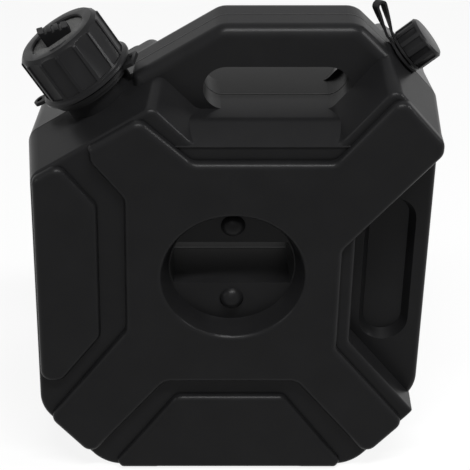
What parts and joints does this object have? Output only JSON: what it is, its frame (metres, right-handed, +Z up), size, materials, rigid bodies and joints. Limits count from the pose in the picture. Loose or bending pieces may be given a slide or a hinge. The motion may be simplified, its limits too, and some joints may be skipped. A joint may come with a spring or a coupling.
{
  "type": "fuel can",
  "caption": "Flat moulded fuel can with a top handle, side grip, slotted lock recess, slanted filler cap and tethered vent cap.",
  "frame": {"origin": "on the ground below the middle of the tank, on the moulding's parting plane", "axes": "+Z up, +X towards the vent cap and side grip, -Y out of the front face"},
  "size_m": [0.2733, 0.118, 0.3398],
  "materials": {
    "tank_plastic": "satin black polyethylene",
    "cap_plastic": "satin black moulded cap",
    "disc_plastic": "rough dark grey",
    "grip_plastic": "matt black",
    "seal_rubber": "soft black rubber",
    "strap_plastic": "flexible black plastic"
  },
  "bodies": {
    "tank": {"tank_body": "tank_plastic", "filler_neck": "tank_plastic", "filler_tether": "strap_plastic", "vent_tether": "strap_plastic"},
    "filler_lid": {"filler_disc": "disc_plastic", "disc_grip": "grip_plastic", "filler_gasket": "seal_rubber"},
    "collar": {"filler_collar": "cap_plastic"},
    "vent_lid": {"vent_seal": "seal_rubber"},
    "vent_screw_cap": {"vent_cap": "cap_plastic"}
  },
  "joints": [
    {"name": "filler_lift", "type": "slide", "parent": "tank", "child": "filler_lid", "axis": [-0.5373, 0, 0.8434], "range_m": [0, 0.06]},
    {"name": "collar_turn", "type": "hinge", "parent": "filler_lid", "child": "collar", "pos_m": [-0.0886, 0, 0.27398], "axis": [-0.5373, 0, 0.8434], "continuous": true},
    {"name": "vent_lift", "type": "slide", "parent": "tank", "child": "vent_lid", "axis": [0.766, 0, 0.6428], "range_m": [0, 0.03], "deforming": ["vent_tether"]},
    {"name": "vent_turn", "type": "hinge", "parent": "vent_lid", "child": "vent_screw_cap", "pos_m": [0.1042, 0, 0.2967], "axis": [0.766, 0, 0.6428], "continuous": true}
  ]
}
